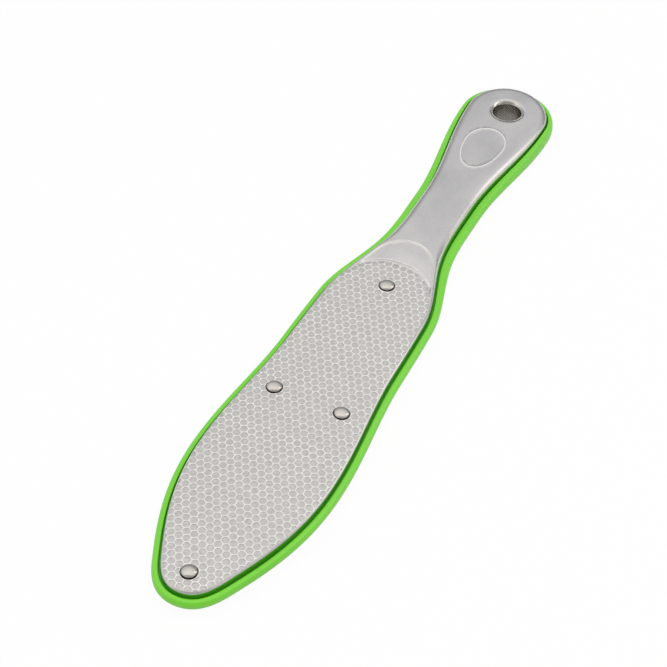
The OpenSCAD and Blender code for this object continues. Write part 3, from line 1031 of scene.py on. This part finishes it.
@dataclass
class FilePlate:
    """A thin plate, rolled down at its edge, with a field of hexagonal cells."""

    edge: Edge
    levels: Levels
    rivets: RivetPlaces
    arc: HeelArc
    pitch: float
    depth: float
    first_row: float
    seat_gap: float = 0.1
    inset: float = 0.32
    heel_inset: float = 0.95
    end_gap: float = 0.55
    roll_w: float = 1.0
    roll_drop: float = 0.42
    border_w: float = 0.12
    dimple_r: float = 2.78
    dimple_floor_r: float = 2.64
    dimple_depth: float = 0.42
    crest_share: float = 0.88
    corner_cut: float = 0.22
    least_cell: float = 0.06
    border_reach: float = 1.5
    shares: tuple[float, ...] = (1.0, 0.97, 0.93, 0.9, 0.85)
    depths: tuple[float, ...] = (0.0, 0.3, 0.88, 1.0, 1.0)

    @property
    def corner_r(self) -> float:
        """The distance from a cell's centre to its corners."""
        return self.pitch / math.sqrt(3) * self.crest_share

    def outline(self) -> Edge:
        """Draws the plate's own edge.

        Returns:
            The steel's edge moved in, and a round end past the heel.
        """
        insets = self.edge.along([0, 3, HEEL], [self.inset, self.inset, self.heel_inset])
        side = self.edge.moved(-insets)[self.edge.place <= HEEL]
        turns = np.radians(np.linspace(90, 0, 61))[1:]
        line = np.r_[side, self.arc.over(side[-1], self.end_gap, turns)]
        return Edge(line, normals_along(line), np.arange(len(line), dtype=float))

    def under_z(self, places: np.ndarray) -> np.ndarray:
        """Height of the plate's underside at each place."""
        return self.levels.seat_z(places[:, 0], places[:, 1]) + self.seat_gap

    def top_z(self, places: np.ndarray) -> np.ndarray:
        """Height of the crests, which sink towards the plate's edge.

        Args:
            places: rows of x and y.

        Returns:
            One height for each place.
        """
        outline = self.outline().points
        gap = np.minimum(distance_to(places, outline), distance_to(places * [-1, 1], outline))
        share = np.clip(1 - gap / self.roll_w, 0, 1)
        return self.under_z(places) + self.levels.sheet_t - self.roll_drop * share**2

    def shape(self) -> np.ndarray:
        """Draws a whole cell.

        Returns:
            Its loop round its centre: a hexagon with its corners cut.
        """
        corners = np.radians(np.arange(30, 390, 60))
        hexagon = self.corner_r * np.c_[np.cos(corners), np.sin(corners)]
        sides = [np.roll(hexagon, step, axis=0) - hexagon for step in (1, -1)]
        return np.stack([hexagon + self.corner_cut * side for side in sides], 1).reshape(-1, 2)

    def lattice(self, border: np.ndarray) -> np.ndarray:
        """Lays out the cells in rows across the plate.

        Args:
            border: the loop that they cover, and go a little past.

        Returns:
            Their centres, as rows of x and y.
        """
        step = self.pitch * math.sqrt(3) / 2
        rows = range(-1, int((border[:, 1].max() - self.first_row) / step) + 2)
        reach = int(border[:, 0].max() / self.pitch * 2) + 2
        spots = []
        for row in rows:
            columns = [k for k in range(-reach, reach + 1) if (k + row) % 2]
            spots += [(k * self.pitch / 2, self.first_row + row * step) for k in columns]
        return np.array(spots)

    def cells(self, border: np.ndarray) -> list[np.ndarray]:
        """The loops of the cells, cut off at the border and at the rivets' dimples.

        Args:
            border: the loop that the cells stay inside.

        Returns:
            One convex loop for each cell.
        """
        whole = self.shape()
        centres = self.lattice(border)
        gaps = distance_to(centres, np.r_[border, border[:1]])
        loops = []
        for centre, gap, is_in in zip(centres, gaps, inside(centres, border)):
            if gap > self.corner_r and not is_in:
                continue
            loop = centre + whole
            if gap < self.corner_r:
                loop = self.cut_off(loop, border, centre)
            for rivet in self.rivets.centres():
                loop = self.clear_of(loop, centre, np.array(rivet))
            if area(loop) > self.least_cell * area(whole):
                loops.append(loop)
        return loops

    def clear_of(self, loop: np.ndarray, centre: np.ndarray, rivet: np.ndarray) -> np.ndarray:
        """What is left of a cell's loop outside a rivet's dimple.

        Args:
            loop: the cell's loop.
            centre: the cell's centre.
            rivet: the rivet's x and y.

        Returns:
            The rest of the loop.
        """
        keep = self.dimple_r + self.border_w
        away = centre - rivet
        apart = float(np.linalg.norm(away))
        if apart == 0:
            return loop[:0]
        if apart < keep + self.corner_r:
            start = rivet + keep * away / apart
            loop = self.clipped(loop, start, start + [away[1], -away[0]])
        return loop

    @staticmethod
    def clipped(loop: np.ndarray, a: np.ndarray, b: np.ndarray) -> np.ndarray:
        """Cuts a convex loop along a line.

        Args:
            loop: the loop, as rows of x and y.
            a: a place on the line.
            b: a further place on it.

        Returns:
            The part of the loop on the left of the line from a to b.
        """
        side = b - a
        kept = []
        if len(loop):
            offsets = side[0] * (loop[:, 1] - a[1]) - side[1] * (loop[:, 0] - a[0])
            for j in range(len(loop)):
                k = (j + 1) % len(loop)
                if offsets[j] >= 0:
                    kept.append(loop[j])
                if (offsets[j] >= 0) != (offsets[k] >= 0):
                    share = offsets[j] / (offsets[j] - offsets[k])
                    kept.append(loop[j] + share * (loop[k] - loop[j]))
        return np.array(kept)

    def cut_off(self, loop: np.ndarray, border: np.ndarray, centre: np.ndarray) -> np.ndarray:
        """Cuts a cell's loop along the border's sides that lie near it.

        Args:
            loop: the cell's loop.
            border: the loop that it stays inside, anticlockwise.
            centre: the cell's centre.

        Returns:
            What is left of the loop.
        """
        near = np.linalg.norm(border - centre, axis=1) < self.corner_r + self.border_reach
        for i in np.flatnonzero(near):
            loop = self.clipped(loop, border[i], border[(i + 1) % len(border)])
        return loop

    def build(self, name: str, side: Side) -> bpy.types.Object:
        """Makes the plate.

        Args:
            name: the piece's name, which is its node's too.
            side: the side of the tool that it is on.

        Returns:
            The plate as an object.
        """
        outline = self.outline()
        loop = closed(outline.points)
        cells = self.cells(closed(outline.moved(-self.border_w)))
        holes = self.rivets.holes(48)
        rims, feet = (
            [circle(centre, r, 48) for centre in self.rivets.centres()]
            for r in (self.dimple_r, self.dimple_floor_r)
        )
        mould = Mould()
        flat, faces = fill(loop, [*cells, *rims])
        mould.add(np.c_[flat, self.top_z(flat)], faces)
        # The plate's side wall takes the near-black steel, painted shade of the gap at its edge
        mould.loft([np.c_[loop, self.top_z(loop)], np.c_[loop, self.under_z(loop)]], 2)
        flat, faces = fill(loop, holes)
        mould.add(np.c_[flat, self.under_z(flat)], faces)
        # The dimples round the rivets take the near-black steel: painted shade
        for hole, rim, foot in zip(holes, rims, feet):
            low = [np.c_[line, self.top_z(line) - self.dimple_depth] for line in (foot, hole)]
            mould.loft([np.c_[rim, self.top_z(rim)], *low, np.c_[hole, self.under_z(hole)]], 2)
        self.pits(mould, cells)
        piece = mould.piece(name, [RIDGE_AND_HIGHLIGHT, CELL_FLOOR, SHADE_STEEL], side, sharp=70)
        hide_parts(name)
        LOG.info("%s: %d cells", name, len(cells))
        return piece

    def pits(self, mould: Mould, cells: list[np.ndarray]) -> None:
        """Adds the cells' sloping sides and floors.

        Args:
            mould: the plate's mesh so far.
            cells: the cells' loops.
        """
        centres = [cell.mean(axis=0) for cell in cells]
        layers = []
        for share, depth in zip(self.shares, self.depths):
            lines = [centre + share * (cell - centre) for centre, cell in zip(centres, cells)]
            flat = np.concatenate(lines)
            layers.append(np.c_[flat, self.top_z(flat) - depth * self.depth])
        stops = np.cumsum([len(cell) for cell in cells])
        for stop, cell in zip(stops, cells):
            rings = [layer[stop - len(cell) : stop] for layer in layers]
            mould.loft(rings[:2])
            mould.loft(rings[1:], 1)
            mould.add(rings[-1], [range(len(cell))], 1)


@dataclass
class CoreFrame:
    """The moulded core: a web between the shells, ribs, bosses, the groove and the outer bead."""

    shell: PressedShell
    groove_w: float = 0.8
    handle_groove_w: float = 0.55
    rim_w: float = 2.8
    neck_rim_w: float = 3.4
    end_rim_w: float = 2.5
    bead_h: float = 3.3
    handle_bead_h: float = 6.2
    end_bead_h: float = 4.4
    bead_round: float = 1.3
    groove_z: float = 0.15
    # The rings that bound the groove's faces, which take the darker green of painted shade
    groove_shade_rings: tuple[int, int] = (2, 11)
    ease: float = 0.3
    land_w: float = 2.0
    fillet: float = 0.12
    boss_r: float = 3.6
    eyelet_boss_w: float = 1.9
    gap: float = 0.2
    rib_t: float = 1.3
    rib_h: float = 2.0
    rib_pitch: float = 22.0
    rib_first: float = 28.0

    def build(self) -> list[bpy.types.Object]:
        """Makes the body with its bead, and the ribs and bosses inside the shells.

        Returns:
            The pieces.
        """
        body = self.body()
        inner = self.inside()
        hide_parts("core_frame")
        return [body, inner]

    def section(self) -> list[tuple[np.ndarray | float, np.ndarray | float]]:
        """The upper half of the body's section, from its inside to the bead's outermost place.

        Returns:
            Pairs of distance outside the steel and height, each the same all round or one for each
            point of the edge.
        """
        edge, web, soft, ease = self.shell.edge, self.shell.levels.web, self.fillet, self.ease
        foot = self.shell.foot_z()
        rims = np.repeat([self.rim_w, self.neck_rim_w, self.end_rim_w], 2)
        rim = edge.along([0, HEEL, 5, 6, 7, 8], rims)
        heights = [self.bead_h, self.bead_h, self.handle_bead_h, self.end_bead_h]
        top = edge.along([0, 6, 7, 8], heights) / 2
        grooves = np.repeat([self.groove_w, self.handle_groove_w], 2)
        groove = edge.along([0, HEEL, 6, 8], grooves)
        floor = self.groove_z + soft
        bead = self.bead_round
        bends = (
            (soft, -soft, floor, -soft, range(0, 91, 30)),
            (groove - soft, soft, floor, -soft, range(90, -1, -30)),
            (groove + ease, -ease, top - ease, ease, range(0, 91, 30)),
            (rim - bead, bead, 0.0, top, np.arange(90, -1, -7.5)),
        )
        line = [(-self.land_w, web), (-self.land_w, foot), (0.0, foot)]
        for out, across, up, rise, turns in bends:
            for turn in np.radians(turns):
                line.append((out + across * math.cos(turn), up + rise * math.sin(turn)))
        return line

    def body(self) -> bpy.types.Object:
        """Makes the web, the land under the shells' skirts, the groove and the bead.

        Returns:
            The body as one closed form.
        """
        edge, hole, web = self.shell.edge, self.shell.hole, self.shell.levels.web
        upper = [
            closed(np.c_[edge.moved(out), np.broadcast_to(z, len(edge.place))])
            for out, z in self.section()
        ]
        mould = Mould()
        # The groove's faces take the darker green, which paints the groove's shade
        first, last = self.groove_shade_rings
        for side in Side:
            rings = [ring * [1, 1, side.value] for ring in upper]
            mould.loft(rings[: first + 1])
            mould.loft(rings[first : last + 1], 1)
            mould.loft(rings[last:])
        holes = self.shell.rivets.holes()
        holes.append(circle(hole.centre, hole.bore_r + hole.eyelet_t + self.gap, 64))
        flat, faces = fill(closed(edge.moved(-self.land_w)), holes)
        for z in (-web, web):
            mould.add(np.c_[flat, np.full(len(flat), z)], faces)
        for loop in holes:
            mould.loft([np.c_[loop, np.full(len(loop), z)] for z in (-web, web)])
        return mould.piece("core_body", [GREEN, GROOVE_SHADE])

    def inside(self) -> bpy.types.Object:
        """Makes what the shells cover.

        Returns:
            The ribs and bosses.
        """
        mould = Mould()
        levels, hole, rivets = self.shell.levels, self.shell.hole, self.shell.rivets
        for centre in rivets.centres():
            place = np.array([[abs(centre[0]) + self.boss_r, centre[1] - self.boss_r]])
            top = float(levels.seat_z(place[:, 0], place[:, 1])[0]) - levels.sheet_t - self.gap
            self.tube(mould, centre, rivets.shank_r + rivets.gap, self.boss_r, top)
        bore = hole.bore_r + hole.eyelet_t + self.gap
        top = levels.handle - hole.dish_r - self.gap
        self.tube(mould, hole.centre, bore, bore + self.eyelet_boss_w, top)
        widths = self.shell.edge.moved(-self.land_w)
        for y in np.arange(self.rib_first, hole.at - self.rib_pitch, self.rib_pitch):
            half = float(np.interp(y, widths[:, 1], widths[:, 0]))
            for up in Side:
                heights = up.value * levels.web, up.value * (levels.web + self.rib_h)
                self.bar(mould, (-half, half), (y, y + self.rib_t), heights)
        return mould.piece("core_ribs", [GREEN])

    @staticmethod
    def tube(mould: Mould, centre: Sequence[float], inner: float, outer: float, top: float) -> None:
        """Adds an upright tube that reaches as far below the middle plane as above it.

        Args:
            mould: the mesh so far.
            centre: the tube's x and y.
            inner: its inner radius.
            outer: its outer radius.
            top: the height of its upper end.
        """
        corners = [(inner, -top), (outer, -top), (outer, top), (inner, top), (inner, -top)]
        mould.revolve(np.array(corners), centre, 48)

    @staticmethod
    def bar(
        mould: Mould, across: Sequence[float], along: Sequence[float], up: Sequence[float]
    ) -> None:
        """Adds a straight rib.

        Args:
            mould: the mesh so far.
            across: the places of its ends across the tool.
            along: the places of its sides along the tool.
            up: the heights of its foot and its crest.
        """
        ring = list(zip([*across, *across[::-1]], np.repeat(along, 2)))
        points = [(x, y, z) for z in up for x, y in ring]
        faces = [(0, 1, 2, 3), (4, 5, 6, 7), (0, 1, 5, 4), (1, 2, 6, 5), (2, 3, 7, 6), (3, 0, 4, 7)]
        mould.add(np.array(points), faces)


@dataclass
class RivetSet:
    """Four through rivets with domed heads at both ends."""

    places: RivetPlaces
    plate: FilePlate
    head_r: float = 2.38
    head_h: float = 1.2
    edge_h: float = 0.28
    crown_r: float = 1e-4
    dome_steps: int = 15

    def build(self) -> bpy.types.Object:
        """Makes the rivets as one piece of four closed forms.

        Returns:
            The rivets as an object.
        """
        mould = Mould()
        for centre in self.places.centres():
            x = max(0.0, abs(centre[0]) - self.head_r)
            spots = np.array([[x, centre[1] + dy] for dy in (-self.head_r, 0, self.head_r)])
            base = float(self.plate.under_z(spots).max()) + self.plate.levels.sheet_t
            profile = self.profile(base)
            # The two domes are bright, and the sides between them, down in the dimples, take the
            # near-black steel that paints the dimples' shade
            dome = self.dome_steps
            mould.revolve(profile[:dome], centre)
            mould.revolve(profile[dome - 1 : 1 - dome], centre, finish=1)
            mould.revolve(profile[-dome:], centre)
        piece = mould.piece("rivet_set", [POLISHED, SHADE_STEEL], sharp=40)
        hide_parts("rivets")
        return piece

    def profile(self, base: float) -> np.ndarray:
        """Half a rivet's section from the lower crown to the upper one.

        Args:
            base: height of the head's seat.

        Returns:
            Rows of radius and height.
        """
        rise = self.head_h - self.edge_h
        turns = np.linspace(0, math.pi / 2, self.dome_steps)
        dome = np.c_[self.head_r * np.sin(turns), base + self.edge_h + rise * np.cos(turns)]
        dome[0, 0] = self.crown_r
        low = base - self.plate.dimple_depth
        upper = np.r_[dome, [[self.head_r, low], [self.places.shank_r, low]]]
        return np.r_[upper * [1, -1], upper[::-1]]


@dataclass
class Eyelet:
    """The steel tube in the hanging hole, flared over both dishes."""

    hole: Hole
    levels: Levels
    flare: float = 60.0
    steps: int = 9

    def build(self) -> bpy.types.Object:
        """Makes the eyelet.

        Returns:
            The eyelet as an object.
        """
        hole = self.hole
        outer_r = hole.dish_r + hole.eyelet_gap + hole.eyelet_t
        half = hole.eyelet_t / 2
        centre = np.array([hole.bore_r + outer_r, self.levels.handle - hole.dish_r])
        turns = np.radians(np.linspace(0, self.flare, self.steps))
        bend = np.c_[-np.cos(turns), np.sin(turns)]
        out = bend[-1]
        along = out[::-1] * [1, -1]
        bulge = np.linspace(0, math.pi, self.steps)[1:-1, None]
        tip = centre + (outer_r - half) * out
        lip = tip + half * (np.sin(bulge) * along + np.cos(bulge) * out)
        inner = centre + (outer_r - hole.eyelet_t) * bend[::-1]
        upper = np.r_[centre + outer_r * bend, lip, inner]
        profile = np.r_[upper, upper[::-1] * [1, -1]]
        mould = Mould()
        mould.revolve(profile, hole.centre, 96)
        # The straight bore joins the two flares; it takes the darker steel, painted shade inside the
        # hole
        mould.revolve(profile[[-1, 0]], hole.centre, 96, finish=1)
        piece = mould.piece("hanging_eyelet", [POLISHED, BORE_SHADE], sharp=60)
        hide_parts("hang_eyelet")
        return piece


# The studio


@dataclass(frozen=True)
class Softbox:
    """A large soft lamp.

    Attributes:
        name: the lamp's name.
        towards: the direction from the tool to the lamp.
        distance: how far away it is, in metres.
        size: its width and height, in metres.
        brightness: how bright its face is, where 1 is white.
        colour: its colour.
        mirrored: whether the steel mirrors it.
    """

    name: str
    towards: Triple
    distance: float
    size: tuple[float, float]
    brightness: float
    colour: Colour = (1.0, 0.96, 0.9)
    mirrored: bool = True

    def build(self, target: Vector) -> None:
        """Hangs the lamp.

        Args:
            target: the place that it is turned to.
        """
        data = bpy.data.lights.new(self.name, "AREA")
        data.shape = "RECTANGLE"
        data.size, data.size_y = self.size
        data.energy = self.brightness * math.pi * self.size[0] * self.size[1]
        data.color = self.colour
        lamp = bpy.data.objects.new(self.name, data)
        direction = Vector(self.towards).normalized()
        lamp.location = target + direction * self.distance
        lamp.rotation_euler = direction.to_track_quat("Z", "Y").to_euler()
        lamp.visible_glossy = self.mirrored
        bpy.context.scene.collection.objects.link(lamp)


@dataclass(frozen=True)
class Ramp:
    """Tones of the sky along an axis.

    Attributes:
        axis: the direction that the places are measured along.
        stops: pairs of the cosine of the angle to the axis, from -1 to 1, and the tone there.
    """

    axis: Triple
    stops: tuple[tuple[float, Colour], ...]

    def nodes(
        self, tree: bpy.types.NodeTree, towards: bpy.types.NodeSocket
    ) -> bpy.types.NodeSocket:
        """Adds the ramp to the world.

        Args:
            tree: the world's nodes.
            towards: the direction of a ray.

        Returns:
            The tone in that direction.
        """
        along = tree.nodes.new("ShaderNodeVectorMath")
        along.operation = "DOT_PRODUCT"
        feed(along, {0: towards, 1: Vector(self.axis).normalized()})
        spread = tree.nodes.new("ShaderNodeMapRange")
        feed(spread, {"Value": along.outputs["Value"], "From Min": -1.0})
        ramp = tree.nodes.new("ShaderNodeValToRGB")
        ramp.color_ramp.interpolation = "EASE"
        stops = ramp.color_ramp.elements
        while len(stops) < len(self.stops):
            stops.new(0.5)
        for stop, (place, colour) in zip(stops, self.stops):
            stop.position = (place + 1) / 2
            stop.color = (*colour, 1.0)
        return feed(ramp, {"Fac": spread.outputs["Result"]}).outputs["Color"]


@dataclass(frozen=True)
class Studio:
    """The camera at the photograph's angle, a white floor and soft light."""

    azimuth: float = 24.295
    elevation: float = 45.878
    roll: float = 2.971
    place: Triple = (0.19225, -0.4533, 0.5064)
    focal_px: float = 2165.5
    image_px: float = 667.0
    sensor_mm: float = 36.0
    clip: tuple[float, float] = (0.01, 20.0)
    floor_glow: float = 0.96
    floor_mirror: float = 0.12
    floor_colour: Colour = (0.85, 0.85, 0.85)
    floor_half: float = 6.0
    softboxes: tuple[Softbox, ...] = (
        Softbox("top_box", (0.05, -0.15, 1.0), 0.9, (0.9, 0.6), 1.2, mirrored=False),
        Softbox("side_box", (0.72, 0.6, 0.5), 0.9, (0.3, 0.8), 1.15, (1.0, 0.94, 0.86)),
    )
    sky: tuple[Ramp, ...] = (
        Ramp(
            (0.0, -0.35, 0.94),
            (
                (-0.3, (0.16, 0.16, 0.17)),
                (0.1, (0.42, 0.42, 0.44)),
                (0.46, (0.82, 0.82, 0.825)),
                (0.72, (1.0, 0.98, 0.95)),
                (0.93, (1.15, 1.12, 1.08)),
            ),
        ),
        Ramp((0.35, -0.85, 0.4), ((0.45, (1.0, 1.0, 1.0)), (0.85, (0.4, 0.4, 0.42)))),
    )

    def build(self) -> None:
        """Sets up the camera, the floor, the world and the lamps."""
        scene = bpy.context.scene
        scene.view_settings.view_transform = "Standard"
        low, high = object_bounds()
        middle = (Vector(low) + Vector(high)) / 2
        scene.camera = self.camera()
        self.floor(low[2])
        self.world()
        for softbox in self.softboxes:
            softbox.build(middle)

    def camera(self) -> bpy.types.Object:
        """Makes the camera.

        Returns:
            The camera, turned as the photograph's lattice of cells says.
        """
        a, e, r = (math.radians(v) for v in (self.azimuth, self.elevation, self.roll))
        back = Vector((math.sin(a) * math.cos(e), -math.cos(a) * math.cos(e), math.sin(e)))
        right = Vector((0, 0, 1)).cross(back).normalized()
        up = back.cross(right)
        turned_right = math.cos(r) * right + math.sin(r) * up
        turned_up = math.cos(r) * up - math.sin(r) * right
        data = bpy.data.cameras.new("camera")
        data.sensor_width = self.sensor_mm
        data.lens = self.focal_px * self.sensor_mm / self.image_px
        data.clip_start, data.clip_end = self.clip
        camera = bpy.data.objects.new("camera", data)
        matrix = Matrix((turned_right, turned_up, back)).transposed().to_4x4()
        matrix.translation = Vector(self.place)
        camera.matrix_world = matrix
        bpy.context.scene.collection.objects.link(camera)
        return camera

    def floor(self, height: float) -> None:
        """Lays the white floor, which keeps a faint shadow.

        Args:
            height: where it lies.
        """
        mesh = bpy.data.meshes.new("floor")
        half = self.floor_half
        corners = [(-half, -half, height), (half, -half, height)]
        corners += [(half, half, height), (-half, half, height)]
        mesh.from_pydata(corners, [], [(0, 1, 2, 3)])
        material = bpy.data.materials.new("white_floor")
        material.use_nodes = True
        nodes = material.node_tree.nodes
        nodes.clear()

        def reckoned(operation: str, first: Any, second: Any) -> bpy.types.NodeSocket:
            """The product or the larger of two values."""
            node = nodes.new("ShaderNodeMath")
            node.operation = operation
            return feed(node, {0: first, 1: second}).outputs[0]

        rays = nodes.new("ShaderNodeLightPath").outputs
        plain = reckoned("MAXIMUM", rays["Is Camera Ray"], rays["Is Transmission Ray"])
        plain = reckoned("MULTIPLY", plain, self.floor_glow)
        mirrored = reckoned("MULTIPLY", rays["Is Glossy Ray"], self.floor_mirror)
        matt = nodes.new("ShaderNodeBsdfDiffuse")
        feed(matt, {"Color": (*self.floor_colour, 1.0)})
        glow = nodes.new("ShaderNodeEmission")
        mix = nodes.new("ShaderNodeMixShader")
        share = reckoned("MAXIMUM", plain, mirrored)
        feed(mix, {"Fac": share, 1: matt.outputs[0], 2: glow.outputs[0]})
        feed(nodes.new("ShaderNodeOutputMaterial"), {"Surface": mix.outputs[0]})
        mesh.materials.append(material)
        floor = bpy.data.objects.new("floor", mesh)
        bpy.context.scene.collection.objects.link(floor)
        floor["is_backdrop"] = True

    def world(self) -> None:
        """Makes the world: white behind the tool, and a sky that is darker low and in front."""
        world = bpy.data.worlds.new("studio")
        world.use_nodes = True
        tree = world.node_tree
        towards = tree.nodes.new("ShaderNodeTexCoord").outputs["Generated"]
        both = tree.nodes.new("ShaderNodeVectorMath")
        both.operation = "MULTIPLY"
        feed(both, {k: ramp.nodes(tree, towards) for k, ramp in enumerate(self.sky)})
        sky = feed(tree.nodes["Background"], {"Color": both.outputs["Vector"]})
        white = tree.nodes.new("ShaderNodeBackground")
        feed(white, {"Color": (1.0, 1.0, 1.0, 1.0)})
        seen = tree.nodes.new("ShaderNodeLightPath").outputs["Is Camera Ray"]
        mix = tree.nodes.new("ShaderNodeMixShader")
        feed(mix, {"Fac": seen, 1: sky.outputs[0], 2: white.outputs[0]})
        feed(tree.nodes["World Output"], {"Surface": mix.outputs[0]})
        bpy.context.scene.world = world


def main() -> None:
    """Builds the tool's pieces and the studio."""
    logging.basicConfig(level=logging.INFO, format="%(name)s: %(message)s")
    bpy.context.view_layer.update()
    edge = Outline().edge()
    levels, hole, rivets = Levels(), Hole(), RivetPlaces()
    arc = HeelArc()
    fine = FilePlate(edge, levels, rivets, arc, pitch=2.626, depth=0.22, first_row=3.46)
    coarse = FilePlate(edge, levels, rivets, arc, pitch=4.2, depth=0.34, first_row=4.0)
    shell = PressedShell(edge, levels, hole, rivets, arc)
    # The rivets come last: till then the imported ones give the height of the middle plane
    pieces = [
        *CoreFrame(shell).build(),
        shell.build("front_shell", Side.FRONT),
        shell.build("back_shell", Side.BACK),
        fine.build("fine_plate", Side.FRONT),
        coarse.build("coarse_plate", Side.BACK),
        Eyelet(hole, levels).build(),
        RivetSet(rivets, fine).build(),
    ]
    for piece in pieces:
        LOG.info("%s: %d faces", piece.name, len(piece.data.polygons))
    Studio().build()


if __name__ == "__main__":
    main()
